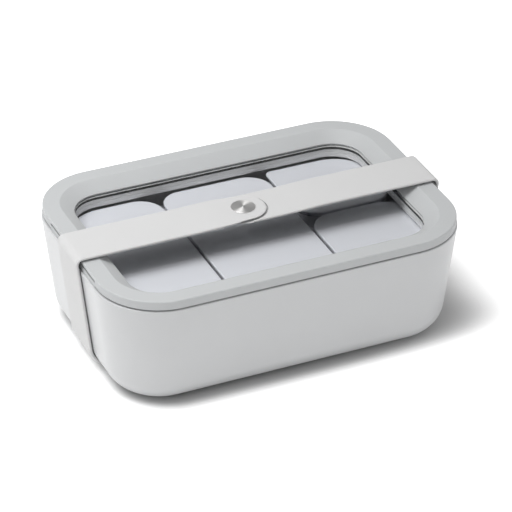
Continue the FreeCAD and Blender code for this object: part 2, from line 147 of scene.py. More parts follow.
def plain_mesh(thing):
    """What an object's modifiers make of it, as a plain mesh; the object is put away."""
    mesh = bpy.data.meshes.new_from_object(thing.evaluated_get(bpy.context.evaluated_depsgraph_get()))
    thing.modifiers.clear()
    bpy.data.objects.remove(thing)
    return mesh


def worked(thing, tree, inputs):
    """The plain mesh that a geometry tree makes of a drawn line."""
    modifier = thing.modifiers.new(tree.name, "NODES")
    modifier.node_group = tree
    for socket in tree.interface.items_tree:
        if socket.in_out == "INPUT" and socket.name in inputs:
            modifier[socket.identifier] = inputs[socket.name]
    return plain_mesh(thing)


def closed_up(mesh):
    """Meeting points merged, open ends filled, faces turned outwards, smooth except along sharp edges."""
    shape = bmesh.new()
    shape.from_mesh(mesh)
    bmesh.ops.remove_doubles(shape, verts=shape.verts, dist=MEETING)
    bmesh.ops.dissolve_degenerate(shape, dist=MEETING, edges=shape.edges)
    bmesh.ops.holes_fill(shape, edges=[edge for edge in shape.edges if edge.is_boundary], sides=0)
    bmesh.ops.recalc_face_normals(shape, faces=shape.faces)
    for face in shape.faces:
        face.smooth = True
    for edge in shape.edges:
        edge.smooth = edge.calc_face_angle(0) < SHARP
    shape.to_mesh(mesh)
    shape.free()
    return mesh


def swept(outline, section, material, closed=False, path_closed=True, steps=(20, 6)):
    """A closed shape: a section of (outwards, up, bend) points carried along (place, bend) points."""
    line = drawn_line("outline", outline, path_closed)
    up = -1 if path_closed else 1
    profile = drawn_line("section", [((out, up * rise, 0), bend) for out, rise, bend in section], closed)
    mesh = worked(line, SWEEP, {
        "Section": profile, "Outline Steps": steps[0], "Section Steps": steps[1], "Material": material})
    bpy.data.objects.remove(profile)
    return closed_up(mesh)


def box_line(low, high, bends):
    """A level rectangle from its low to its high corner, with a bend radius at each of its corners."""
    places = ((low[0], low[1], 0), (high[0], low[1], 0), (high[0], high[1], 0), (low[0], high[1], 0))
    return list(zip(places, bends))


def joined(mesh, other, operation):
    """A mesh with the shape of another added to it or cut out of it."""
    work = placed("work", mesh)
    tool = placed("tool", other)
    change = work.modifiers.new("change", "BOOLEAN")
    change.operation = operation
    change.solver = "EXACT"
    change.object = tool
    result = plain_mesh(work)
    bpy.data.objects.remove(tool)
    return closed_up(result)


def piece(name, mesh, body, slot, *nodes):
    """A finished piece that stands for CAD nodes and rides on their body, evenly shaded."""
    thing = placed(name, mesh)
    thing.modifiers.new("even shading", "WEIGHTED_NORMAL").keep_sharp = True
    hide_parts(*nodes)
    if body:
        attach(thing, body)
    return thing


def shade(red, green, blue):
    """A colour given as it is seen, from 0 to 255, as the shader takes it."""
    seen = [value / 255 for value in (red, green, blue)]
    return tuple(v / 12.92 if v < 0.04045 else ((v + 0.055) / 1.055) ** 2.4 for v in seen) + (1.0,)


def finish(name):
    """A new material: itself, its node tree, its shader and the place on the piece."""
    material = bpy.data.materials.new(name)
    material.use_nodes = True
    tree = material.node_tree
    place = add(tree, "ShaderNodeTexCoord").outputs["Object"]
    return material, tree, tree.nodes["Principled BSDF"], place


def moulded(name, pale, dark, roughness, grain, depth):
    """A moulded or coated finish: clouded between two near tones, its gloss broken up by a fine grain."""
    material, tree, shader, place = finish(name)
    drift = add(tree, "ShaderNodeTexNoise", {"Vector": place, "Scale": CLOUD, "Detail": 3.0})
    tint = add(tree, "ShaderNodeMix", {0: drift.outputs["Fac"], 6: dark, 7: pale}, data_type="RGBA")
    tree.links.new(tint.outputs[2], shader.inputs["Base Color"])
    fine = add(tree, "ShaderNodeTexNoise", {"Vector": place, "Scale": grain, "Detail": 2.0})
    gloss = add(tree, "ShaderNodeMapRange", {
        "Value": fine.outputs["Fac"], "To Min": roughness - GLOSS_SPREAD, "To Max": roughness + GLOSS_SPREAD})
    tree.links.new(gloss.outputs["Result"], shader.inputs["Roughness"])
    bump = add(tree, "ShaderNodeBump", {"Height": fine.outputs["Fac"], "Strength": 0.6, "Distance": depth})
    tree.links.new(bump.outputs["Normal"], shader.inputs["Normal"])
    return material


tub_low, tub_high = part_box("box_body")
tub_top = tub_high.z
tub_outline = box_line(tub_low, tub_high, [TUB_CORNER] * 4)
tub_inside = -TUB_WALL - TUB_DRAFT * (tub_top - TUB_FLOOR)
tub_section = (
    (-TUB_FLOOR_REACH, 0, 0),
    (-TUB_DRAFT * tub_top, 0, TUB_FOOT),
    (0, tub_top, TUB_RIM_ROUND),
    (-TUB_WALL, tub_top, TUB_RIM_EDGE),
    (tub_inside, TUB_FLOOR, TUB_FOOT_INSIDE),
    (-TUB_FLOOR_REACH, TUB_FLOOR, 0))
tub_finish = moulded(
    "satin_coat", shade(202, 203, 204), shade(198, 199, 200),
    roughness=0.36, grain=2600.0, depth=0.00002)
tub_mesh = swept(tub_outline, tub_section, tub_finish, steps=(24, 10))

base_low, base_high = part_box("strap_base")
arm_low, arm_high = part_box("strap_right_arm")
strap_y = (base_low.y + base_high.y) / 2
strap_floor = base_low.z + STRAP_THICK / 2
arm_lean = (arm_high.x - base_high.x) / (arm_high.z - arm_low.z)
arm_middle = (arm_low.z + arm_high.z) / 2


def arm_at(height):
    """How far from the middle the strap's centre line stands at a height on its arm."""
    return base_high.x - STRAP_THICK / 2 + arm_lean * (height - base_high.z)


def foot_route(side, start, y):
    """The strap's way from under the tub, round the foot and up to the middle of an arm."""
    return [
        ((side * start, y, strap_floor), 0),
        ((side * arm_at(strap_floor), y, strap_floor), STRAP_FOOT_BEND),
        ((side * arm_at(arm_middle), y, arm_middle), 0)]


channel_half = (base_high.y - base_low.y) / 2 + CHANNEL_BESIDE
channel_section = (
    (-channel_half, -STRAP_THICK / 2 - CHANNEL_ROOM, 0),
    (channel_half, -STRAP_THICK / 2 - CHANNEL_ROOM, 0),
    (channel_half, STRAP_FOOT_BEND, 0),
    (-channel_half, STRAP_FOOT_BEND, 0))
for side in (-1, 1):
    channel = swept(
        foot_route(side, -CHANNEL_PAST, strap_y), channel_section, tub_finish,
        closed=True, path_closed=False, steps=(16, 1))
    tub_mesh = joined(tub_mesh, channel, "DIFFERENCE")
piece("tub_shell", tub_mesh, "base", "tub", "box_body")


# Inserts and their lids
# Four cups stand side by side in the tub, each with a push-in lid, moulded in pale lavender-grey plastic.
# A flange below each cup's rim fills the corners between the cups; a small round runs along the lids' edges.

INSERT_OUTER_CORNER = 0.026
INSERT_INNER_CORNER = 0.016
MIDDLE_LID_CORNER = 0.0135
REAR_LID_CORNER = 0.004
INSERT_LID_EDGE = 0.0008
INSERT_LID_FOOT = 0.002
INSERT_LID_THICK = 0.003
INSERT_PLUG_INSET = 0.0027
CUP_STEP = 0.0008
CUP_WALL = 0.0016
CUP_FOOT = 0.010
SLAB_REACH = 0.8
FLANGE_DROP = 0.008
FLANGE_THICK = 0.0012
FLANGE_CORNER = 0.003
FLANGE_OUT = 0.006

insert_finish = moulded(
    "insert_plastic", shade(204, 205, 210), shade(199, 200, 206),
    roughness=0.45, grain=2200.0, depth=0.00002)
insert_lid_finish = moulded(
    "insert_lid_plastic", shade(238, 240, 246), shade(235, 237, 243),
    roughness=0.4, grain=2400.0, depth=0.00003)
outer, inner = INSERT_OUTER_CORNER, INSERT_INNER_CORNER
insert_corners = {
    "left": ((outer, inner, inner, outer), outer),
    "middle": ((inner, inner, inner, inner), MIDDLE_LID_CORNER),
    "right_rear": ((inner, inner, outer, inner), REAR_LID_CORNER),
    "right_front": ((inner, outer, inner, inner), inner)}
insert_boxes = [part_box(place + "_insert_lid") for place in insert_corners]
inserts_low = [min(low[axis] for low, high in insert_boxes) for axis in range(3)]
inserts_high = [max(high[axis] for low, high in insert_boxes) for axis in range(3)]


def slab(low, high, bends, material, bottom, top, foot=0, edge=0):
    """A solid plate between two heights, with its lower and its upper edge square or rounded."""
    reach = -SLAB_REACH * min(bends)
    section = ((reach, bottom, 0), (0, bottom, foot), (0, top, edge), (reach, top, 0))
    return swept(box_line(low, high, bends), section, material, steps=(14, 8))


for place, (bends, rear_left) in insert_corners.items():
    cover_node = place + "_insert_lid"
    cover_low, cover_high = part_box(cover_node)
    cover_under = cover_high.z - INSERT_LID_THICK
    cover_plate = slab(
        cover_low, cover_high, bends[:3] + (rear_left,), insert_lid_finish,
        bottom=cover_under, top=cover_high.z, foot=INSERT_LID_FOOT, edge=INSERT_LID_EDGE)
    plug_inset = Vector((INSERT_PLUG_INSET, INSERT_PLUG_INSET, 0))
    plug_bends = [bend - INSERT_PLUG_INSET for bend in bends]
    plug = slab(
        cover_low + plug_inset, cover_high - plug_inset, plug_bends, insert_lid_finish,
        bottom=cover_low.z, top=cover_under + INSERT_LID_EDGE, foot=INSERT_LID_EDGE)
    piece(place + "_cover", joined(cover_plate, plug, "UNION"), place + "_cover", "insert_lid", cover_node)

    cup_low, cup_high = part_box(place + "_insert")
    cup_wall = Vector((CUP_WALL, CUP_WALL, CUP_WALL))
    flange_top = cup_high.z - FLANGE_DROP
    flange_low = [far - FLANGE_OUT if far == end else far for far, end in zip(cover_low, inserts_low)]
    flange_high = [far + FLANGE_OUT if far == end else far for far, end in zip(cover_high, inserts_high)]
    flange_bends = [bend + FLANGE_OUT if bend == outer else FLANGE_CORNER for bend in bends]
    flange = slab(
        flange_low, flange_high, flange_bends, insert_finish,
        bottom=flange_top - FLANGE_THICK, top=flange_top)
    cup_bends = [bend - CUP_STEP for bend in bends]
    cup_mesh = slab(
        cup_low, cup_high, cup_bends, insert_finish,
        bottom=cup_low.z, top=cup_high.z, foot=CUP_FOOT)
    cup_mesh = joined(cup_mesh, flange, "UNION")
    hollow_bends = [bend - CUP_WALL for bend in cup_bends]
    hollow = slab(
        cup_low + cup_wall, cup_high - cup_wall, hollow_bends, insert_finish,
        bottom=cup_low.z + CUP_WALL, top=cup_high.z + CUP_WALL, foot=CUP_FOOT - CUP_WALL)
    piece(place + "_cup", joined(cup_mesh, hollow, "DIFFERENCE"), place + "_cup", "insert", place + "_insert")


# Lid frame
# A broad flat rim that slopes softly down to the window, with a skirt that fits inside the tub.
# It is moulded in a pale grey matte plastic; both ends have a slot along their side to lift it by.

LID_CORNER = 0.039
LID_SIDE = 0.0056
LID_SIDE_EDGE = 0.0008
LID_SEAM_EDGE = 0.0004
LID_FLAT = 0.0105
LID_SLOPE_RUN = 0.0088
LID_SLOPE_DROP = 0.0058
LID_SLOPE_ROUND = 0.0015
LID_LIP = 0.0008
LID_LIP_EDGE = 0.00035
LID_SEAT_EDGE = 0.0002
SKIRT_INSET = 0.0047
SKIRT_WALL = 0.0024
NOTCH_LONG = 0.071
NOTCH_MIDDLE = -0.0022
NOTCH_HIGH = 0.0018
NOTCH_DEEP = 0.004
NOTCH_LIP = 0.002
NOTCH_LIP_DROP = 0.0008
NOTCH_LIP_BACK = 0.00005

lid_low, lid_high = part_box("lid_frame")
lid_top = lid_high.z
lid_seam = lid_top - LID_SIDE
window_inset = LID_FLAT + LID_SLOPE_RUN
window_seat = lid_top - LID_SLOPE_DROP - LID_LIP
lid_section = (
    (-window_inset, window_seat, LID_SEAT_EDGE),
    (-window_inset, window_seat + LID_LIP, LID_LIP_EDGE),
    (-LID_FLAT, lid_top, LID_SLOPE_ROUND),
    (0, lid_top, LID_SIDE_EDGE),
    (0, lid_seam, LID_SEAM_EDGE),
    (-SKIRT_INSET, lid_seam, 0),
    (-SKIRT_INSET, lid_low.z, 0),
    (-SKIRT_INSET - SKIRT_WALL, lid_low.z, 0),
    (-SKIRT_INSET - SKIRT_WALL, window_seat, 0))
lid_finish = moulded(
    "lid_plastic", shade(189, 191, 192), shade(185, 187, 188),
    roughness=0.55, grain=2400.0, depth=0.00003)
lid_mesh = swept(
    box_line(lid_low, lid_high, [LID_CORNER] * 4), lid_section, lid_finish, closed=True, steps=(24, 8))


def end_block(side, reach, low, high):
    """A block along the middle of the lid's end: how far out it reaches, and its two heights."""
    ends = sorted((side * (lid_high.x - NOTCH_DEEP), side * (lid_high.x + reach)))
    block_low = (ends[0], NOTCH_MIDDLE - NOTCH_LONG / 2)
    block_high = (ends[1], NOTCH_MIDDLE + NOTCH_LONG / 2)
    section = ((-NOTCH_DEEP / 2, low, 0), (0, low, 0), (0, high, 0), (-NOTCH_DEEP / 2, high, 0))
    return swept(box_line(block_low, block_high, [0] * 4), section, lid_finish, steps=(1, 1))


notch_floor = lid_seam + NOTCH_LIP
for side in (-1, 1):
    lip = end_block(side, -NOTCH_LIP_BACK, lid_seam - NOTCH_LIP_DROP, lid_seam + NOTCH_LIP / 2)
    notch = end_block(side, NOTCH_DEEP, notch_floor, notch_floor + NOTCH_HIGH)
    lid_mesh = joined(joined(lid_mesh, lip, "UNION"), notch, "DIFFERENCE")
piece("lid_rim", lid_mesh, "lid", "lid", "lid_frame")


# Window
# A clear pane lies in the lid on a thin black seal, held from below by a pale ring with a soft gasket.
# The pane is polished and has a small arris; the seal, bonded to the pane, has its upper face painted
# near-white as painted light under the lip.

PANE_CORNER = 0.0237
PANE_EDGE = 0.0003
PANE_REACH = 0.012
PANE_IOR = 1.3
WINDOW_CORNER = 0.0197
RING_EDGE = 0.0003
SEAL_LAP = 0.0009
# Painted light: how far the seal's face must turn upwards to be painted near-white.
SEAL_FACING = (0.5, 0.8)

pane_finish, pane_tree, pane_shader, pane_place = finish("clear_pane")
pane_shader.inputs["Base Color"].default_value = (0.985, 0.99, 0.99, 1.0)
pane_shader.inputs["Transmission Weight"].default_value = 1.0
pane_shader.inputs["IOR"].default_value = PANE_IOR
pane_wear = add(pane_tree, "ShaderNodeTexNoise", {"Vector": pane_place, "Scale": 60.0, "Detail": 4.0})
pane_gloss = add(pane_tree, "ShaderNodeMapRange", {
    "Value": pane_wear.outputs["Fac"], "To Min": 0.0, "To Max": 0.02})
pane_tree.links.new(pane_gloss.outputs["Result"], pane_shader.inputs["Roughness"])
pane_rays = add(pane_tree, "ShaderNodeLightPath")
pane_mirror = add(pane_tree, "ShaderNodeFresnel", {"IOR": PANE_IOR})
pane_passed = add(pane_tree, "ShaderNodeMix", {
    0: pane_mirror.outputs["Fac"], 6: (1, 1, 1, 1), 7: (0, 0, 0, 1)}, data_type="RGBA")
pane_clear = add(pane_tree, "ShaderNodeBsdfTransparent", {"Color": pane_passed.outputs[2]})
pane_lit = add(pane_tree, "ShaderNodeMixShader", {
    0: pane_rays.outputs["Is Shadow Ray"], 1: pane_shader.outputs["BSDF"], 2: pane_clear.outputs["BSDF"]})
pane_glow = add(pane_tree, "ShaderNodeMixShader", {
    0: pane_rays.outputs["Is Diffuse Ray"], 1: pane_lit.outputs["Shader"], 2: pane_clear.outputs["BSDF"]})
pane_out = pane_tree.nodes["Material Output"]
pane_tree.links.new(pane_glow.outputs["Shader"], pane_out.inputs["Surface"])

pane_low, pane_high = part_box("lid_window")
pane_section = (
    (-PANE_REACH, pane_low.z, 0), (0, pane_low.z, PANE_EDGE),
    (0, pane_high.z, PANE_EDGE), (-PANE_REACH, pane_high.z, 0))
pane_mesh = swept(box_line(pane_low, pane_high, [PANE_CORNER] * 4), pane_section, pane_finish, steps=(20, 3))
piece("window_pane", pane_mesh, "lid", "window", "lid_window")

seal_finish = moulded(
    "black_seal", shade(14, 14, 15), shade(9, 9, 10),
    roughness=0.6, grain=1800.0, depth=0.00003)
seal_tree = seal_finish.node_tree
seal_shader = seal_tree.nodes["Principled BSDF"]
seal_black = seal_shader.inputs["Base Color"].links[0].from_socket
# Painted light: the seal's upward face is painted near-white, so the strip seen under the lip through the
# pane looks lit.
seal_normal = add(seal_tree, "ShaderNodeTexCoord").outputs["Normal"]
seal_facing = add(seal_tree, "ShaderNodeSeparateXYZ", {"Vector": seal_normal})
seal_painted_light = add(seal_tree, "ShaderNodeMapRange", {
    "Value": seal_facing.outputs["Z"], "From Min": SEAL_FACING[0], "From Max": SEAL_FACING[1]})
seal_tint = add(seal_tree, "ShaderNodeMix", {
    0: seal_painted_light.outputs["Result"], 6: seal_black, 7: shade(250, 251, 251)}, data_type="RGBA")
seal_tree.links.new(seal_tint.outputs[2], seal_shader.inputs["Base Color"])
retainer_finish = moulded(
    "retainer_plastic", shade(236, 236, 235), shade(231, 231, 230),
    roughness=0.5, grain=2200.0, depth=0.00003)
gasket_finish = moulded(
    "gasket_silicone", shade(240, 240, 240), shade(236, 236, 236),
    roughness=0.6, grain=1800.0, depth=0.00003)
rings = (
    ("window_seal", "seal_ring", "seal", seal_finish, SEAL_LAP),
    ("window_retainer", "retainer_ring", "retainer", retainer_finish, 0),
    ("lid_gasket", "gasket_ring", "gasket", gasket_finish, 0))
window_reach = Vector((lid_high.x - window_inset, lid_high.y - window_inset))
window_line = box_line(-window_reach, window_reach, [WINDOW_CORNER] * 4)
for node, name, slot, ring_finish, lap in rings:
    ring_low, ring_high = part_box(node)
    ring_wide = ring_high.y - window_reach.y
    proud = lap / 4
    ring_section = (
        (-proud, ring_low.z - lap, RING_EDGE), (-proud, ring_high.z, RING_EDGE),
        (ring_wide, ring_high.z, RING_EDGE), (ring_wide, ring_low.z - lap, RING_EDGE))
    ring_mesh = swept(window_line, ring_section, ring_finish, closed=True, steps=(20, 3))
    piece(name, ring_mesh, "lid", slot, node)


# Strap
# One flat silicone band runs under the tub, up both ends and over the lid, where its two ends overlap.
# The left end is a round tongue over the right end, a tab moulded with a round recess that takes it.

STRAP_EDGE = Vector((0.0008, 0.0008, 0.0008, 0.0008))
TONGUE_EDGE = Vector((0.0030, 0.0007, 0.0012, 0.0005))
STRAP_CORNER_BEND = 0.0034
STRAP_STEP = 0.0011
STRAP_END_STEPS = 28
EDGE_STEPS = 4
ROUTE_STEPS = 16
TONGUE_RISE = (-0.041, -0.025, 0.0003)
TONGUE_STEP = (-0.025, -0.0238, 0.0009)
TONGUE_TAPER = (-0.022, -0.0055, 0.0016)
TAB_DIP = (0.045, 0.012)
TAB_DROPS = (0.0006, 0.00075)
RECESS_RADIUS = 0.0149
RECESS_SHIFT = (0.0002, -0.0002)
RECESS_FLOOR = 0.0019


def lay_tree():
    """A flat band, drawn along X with its height in Z, laid along a drawn route."""
    tree, given = new_tree("laid along a route", (
        ("Band", "Geometry"), ("Route", "Object"), ("Route Steps", "Int"), ("Material", "Material")))
    drawn = add(tree, "GeometryNodeObjectInfo", {"Object": given["Route"]})
    route = rounded_line(tree, drawn.outputs["Geometry"], given["Route Steps"])
    flat = add(tree, "ShaderNodeSeparateXYZ", {"Vector": add(tree, "GeometryNodeInputPosition").outputs[0]})
    spot = add(tree, "GeometryNodeSampleCurve", {"Curves": route, "Length": flat.outputs["X"]}, mode="LENGTH")
    outwards = add(tree, "ShaderNodeVectorMath", {
        0: spot.outputs["Tangent"], 1: spot.outputs["Normal"]}, operation="CROSS_PRODUCT")
    raised = add(tree, "ShaderNodeVectorMath", {
        0: outwards.outputs["Vector"], "Scale": flat.outputs["Z"]}, operation="SCALE")
    across = add(tree, "ShaderNodeCombineXYZ", {"Y": flat.outputs["Y"]})
    shift = add(tree, "ShaderNodeVectorMath", {0: raised.outputs["Vector"], 1: across.outputs[0]})
    moved = add(tree, "GeometryNodeSetPosition", {
        "Geometry": given["Band"], "Position": spot.outputs["Position"], "Offset": shift.outputs["Vector"]})
    return end_tree(tree, moved.outputs[0], given["Material"])


LAY = lay_tree()


def flat_band(stations, width, under, over, edges, round_end):
    """A flat band as a closed mesh with rounded edges; its far end is square or a half circle.

    Its half width, its two faces' heights and its edges are given for each place along it.
    The edges are how far in and up the lower one is rounded, and how far in and down the upper one.
    """
    turns = [i / EDGE_STEPS * math.pi / 2 for i in range(EDGE_STEPS + 1)]
    levels = [(turn, False) for turn in turns] + [(turn, True) for turn in reversed(turns)]
    arc = [i / STRAP_END_STEPS * math.pi / 2 for i in range(1, STRAP_END_STEPS)]
    last = stations[-1]
    points = []
    for turn, top in levels:
        inwards = 1 - math.sin(turn)
        fall = 1 - math.cos(turn)
        side = [(along, width(along) - edges(along)[2 if top else 0] * inwards) for along in stations]
        if round_end:
            reach = side[-1][1]
            side += [(last + reach * math.sin(turned), reach * math.cos(turned)) for turned in arc]
            side.append((last + reach, 0.0))
        loop = [(along, -y) for along, y in side]
        loop += [(along, y) for along, y in reversed(side[:-1] if round_end else side)]
        for along, y in loop:
            low = under(along) + edges(along)[1] * fall
            high = over(along) - edges(along)[3] * fall
            points.append((along, y, high if top else low))
    count = len(points) // len(levels)
    faces = []
    for level in range(len(levels) - 1):
        for i in range(count - 1):
            near = level * count + i
            far = near + count
            faces.append((near, near + 1, far + 1, far))
    for level in (0, len(levels) - 1):
        for i in range(count // 2):
            ring = [level * count + k for k in (i, i + 1, count - 2 - i, count - 1 - i)]
            faces.append(tuple(dict.fromkeys(ring)))
    mesh = bpy.data.meshes.new("band")
    mesh.from_pydata(points, [], [face for face in faces if len(face) > 2])
    return mesh


def ramp(along, start, end, rise):
    """A height that eases from nothing at start to its whole rise at end."""
    share = min(max((along - start) / (end - start), 0), 1)
    return rise * share * share * (3 - 2 * share)


def laid(band, route, material):
    """A flat band laid along a route, closed up."""
    line = drawn_line("route", route, False)
    mesh = worked(placed("band", band), LAY, {
        "Route": line, "Route Steps": ROUTE_STEPS, "Material": material})
    bpy.data.objects.remove(line)
    return closed_up(mesh)


def spaced(start, end, breaks=()):
    """Places from start to end at even steps, with the given breaks among them."""
    count = math.ceil((end - start) / STRAP_STEP)
    even = [start + (end - start) * i / count for i in range(count + 1)]
    return sorted(set(even) | set(breaks))


strap_finish = moulded(
    "strap_silicone", shade(206, 206, 206), shade(202, 202, 202),
    roughness=0.55, grain=2000.0, depth=0.00003)
strap_half = (base_high.y - base_low.y) / 2
strap_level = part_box("strap_tab")[1].z - STRAP_THICK / 2
snap_spot = sum(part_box("snap_cap"), Vector()) / 2
corner_x = arm_at(strap_level)
arm_slant = math.hypot(1, arm_lean)
corner_turn = math.pi / 2 + math.atan(arm_lean)
corner_inset = STRAP_CORNER_BEND * math.tan(corner_turn / 2)
run_start = (strap_level - arm_middle) * arm_slant - corner_inset + STRAP_CORNER_BEND * corner_turn


def along_run(x, side):
    """The length along an upper strap piece, from the middle of its arm to a place on the top run."""
    return run_start + corner_x - corner_inset - side * x


def top_route(side):
    """The strap's way from the middle of an arm, round the top corner and past the other end."""
    return [
        ((side * arm_at(arm_middle), strap_y, arm_middle), 0),
        ((side * corner_x, strap_y, strap_level), STRAP_CORNER_BEND),
        ((-side * corner_x, strap_y, strap_level), 0)]


half_thick = STRAP_THICK / 2
tongue_rise, tongue_step, tongue_taper = [
    (along_run(start, -1), along_run(end, -1), size)
    for start, end, size in (TONGUE_RISE, TONGUE_STEP, TONGUE_TAPER)]
tongue_band = flat_band(
    spaced(0, along_run(snap_spot.x, -1), tongue_rise[:2] + tongue_step[:2]),
    width=lambda along: strap_half - ramp(along, *tongue_taper),
    under=lambda along: ramp(along, *tongue_step) - half_thick,
    over=lambda along: half_thick + ramp(along, *tongue_rise),
    edges=lambda along: STRAP_EDGE.lerp(TONGUE_EDGE, ramp(along, *tongue_taper[:2], 1)),
    round_end=True)
tongue_mesh = laid(tongue_band, top_route(-1), strap_finish)

tab_dip = [along_run(x, 1) for x in TAB_DIP]
tab_band = flat_band(
    spaced(0, along_run(snap_spot.x, 1), tab_dip),
    width=lambda along: strap_half,
    under=lambda along: -half_thick - ramp(along, *tab_dip, TAB_DROPS[0]),
    over=lambda along: half_thick - ramp(along, *tab_dip, TAB_DROPS[1]),
    edges=lambda along: STRAP_EDGE,
    round_end=True)
tab_mesh = laid(tab_band, top_route(1), strap_finish)
recess = flat_band(
    [snap_spot.x - 3 * RECESS_RADIUS, snap_spot.x - MEETING, snap_spot.x],
    width=lambda along: RECESS_RADIUS if along == snap_spot.x else 2 * RECESS_RADIUS,
    under=lambda along: strap_level + half_thick - RECESS_FLOOR,
    over=lambda along: strap_level + RECESS_RADIUS,
    edges=lambda along: Vector((0, 0, 0, 0)),
    round_end=True)
recess.transform(Matrix.Translation((RECESS_SHIFT[0], strap_y + RECESS_SHIFT[1], 0)))
tab_mesh = joined(tab_mesh, closed_up(recess), "DIFFERENCE")

foot_turn = math.pi / 2 - math.atan(arm_lean)
foot_inset = STRAP_FOOT_BEND * math.tan(foot_turn / 2)
foot_curve = STRAP_FOOT_BEND * foot_turn
foot_long = arm_at(strap_floor) - 2 * foot_inset + foot_curve + (arm_middle - strap_floor) * arm_slant
for side, name in ((-1, "left"), (1, "right")):
    foot_band = flat_band(
        spaced(0, foot_long),
        width=lambda along: strap_half,
        under=lambda along: -half_thick,
        over=lambda along: half_thick,
        edges=lambda along: STRAP_EDGE,
        round_end=False)
    foot_mesh = laid(foot_band, foot_route(side, 0, strap_y), strap_finish)
    foot = piece("strap_foot_" + name, foot_mesh, None, "strap", "strap_base")
    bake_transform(foot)
for side, name, end_body, mesh in ((-1, "left", "tongue", tongue_mesh), (1, "right", "tab", tab_mesh)):
    strap_end = piece(
        "strap_" + end_body + "_band", mesh, None, "strap", "strap_" + name + "_arm", "strap_" + end_body)
    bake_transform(strap_end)


# Press stud
# A spun steel cap on the tongue with its socket below, and a stud on the tab held by a post from underneath.
# The cap's face is turned in fine rings that fan the light out across it.

CAP_CORE = 0.004
CAP_HOLE = 0.00005
CAP_CROWN = 0.00012
CAP_CROWN_ROUND = 0.01
CAP_SIDE = 0.0003
CAP_FOOT_EDGE = 0.0001

steel, steel_tree, steel_shader, steel_place = finish("spun_steel")
steel_shader.inputs["Metallic"].default_value = 1.0
centred = add(steel_tree, "ShaderNodeMapping", {
    "Vector": steel_place, "Location": (-snap_spot.x, -snap_spot.y, 0), "Scale": (1, 1, 0)})
radius = add(steel_tree, "ShaderNodeVectorMath", {0: centred.outputs[0]}, operation="LENGTH")
rings_tone = add(steel_tree, "ShaderNodeTexNoise", {
    "W": radius.outputs["Value"], "Scale": 9000.0, "Detail": 2.0}, noise_dimensions="1D")
steel_tint = add(steel_tree, "ShaderNodeMix", {
    0: rings_tone.outputs["Fac"], 6: shade(232, 231, 230), 7: shade(250, 249, 248)}, data_type="RGBA")
steel_tree.links.new(steel_tint.outputs[2], steel_shader.inputs["Base Color"])
steel_gloss = add(steel_tree, "ShaderNodeMapRange", {
    "Value": rings_tone.outputs["Fac"], "To Min": 0.46, "To Max": 0.56})
steel_tree.links.new(steel_gloss.outputs["Result"], steel_shader.inputs["Roughness"])
steel_shader.inputs["Anisotropic"].default_value = 0.75
turned = add(
    steel_tree, "ShaderNodeVectorTransform", {"Vector": centred.outputs[0]},
    vector_type="VECTOR", convert_from="OBJECT", convert_to="WORLD")
steel_tree.links.new(turned.outputs["Vector"], steel_shader.inputs["Tangent"])

cap_low, cap_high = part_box("snap_cap")
cap_radius = (cap_high.x - cap_low.x) / 2
cap_core_low = (snap_spot.x - CAP_CORE, snap_spot.y - CAP_CORE)
cap_core_high = (snap_spot.x + CAP_CORE, snap_spot.y + CAP_CORE)
cap_section = (
    (CAP_HOLE - CAP_CORE, cap_low.z, 0),
    (cap_radius - CAP_CORE, cap_low.z, CAP_FOOT_EDGE),
    (cap_radius - CAP_CORE, cap_high.z - CAP_SIDE, CAP_SIDE),
    (0, cap_high.z - CAP_CROWN, CAP_CROWN_ROUND),
    (CAP_HOLE - CAP_CORE, cap_high.z, 0))
cap_mesh = swept(box_line(cap_core_low, cap_core_high, [CAP_CORE] * 4), cap_section, steel, steps=(24, 6))
piece("cap_disc", cap_mesh, "tongue", "snap", "snap_cap")
for node in ("snap_socket", "snap_stud", "snap_post"):
    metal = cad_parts[node]
    metal.data.materials.clear()
    metal.data.materials.append(steel)


# Studio
# A white floor with a painted shadow, darker close to the box and out to its right, a bright backdrop and a
# dimmer ceiling.
# Three soft lamps hang over the box, and the camera stands where the photograph was taken from.

FLOOR_HALF = 3.0
# Painted shadow on the floor: its darkest tone beside the paper's tone, and the distances over which it fades
# to paper.
FLOOR_SHADE_AND_PAPER = (0.29, 0.93)
FLOOR_PAINTED_SHADE_SPAN = (0.022, 0.042)
FLOOR_LEAN = 0.006
FLOOR_CAST = 0.265
FLOOR_CORNER = 0.040
FLOOR_WHITE = 0.6
FLOOR_FADE = (0.030, 0.044)
BACKDROP_LEVEL = 1.19
CEILING_LEVEL = 0.53
MIRRORED_LEVELS = (1.0, 0.2)
BACKDROP_RISE = (0.12, 0.45)
LAMPS = (
    ("top_panel", (-0.22, -0.05, 1.2), 0.3, 2.14),
    ("left_panel", (-0.35, 0.0, 0.6), 0.3, 1.5),
    ("near_panel", (-0.12, 0.06, 0.5), 0.2, 0.3))
LID_MIDDLE = Vector((0, 0, lid_top))
CAMERA_AZIMUTH = math.radians(-24.3083)
CAMERA_ELEVATION = math.radians(31.7233)
CAMERA_ROLL = math.radians(0.2736)
CAMERA_FAR = 1.76971
CAMERA_SHIFT = (0.0042535, -0.029581)
CAMERA_LENS = 207.1
CAMERA_SENSOR = 36.0
CAMERA_NEAR = 0.05

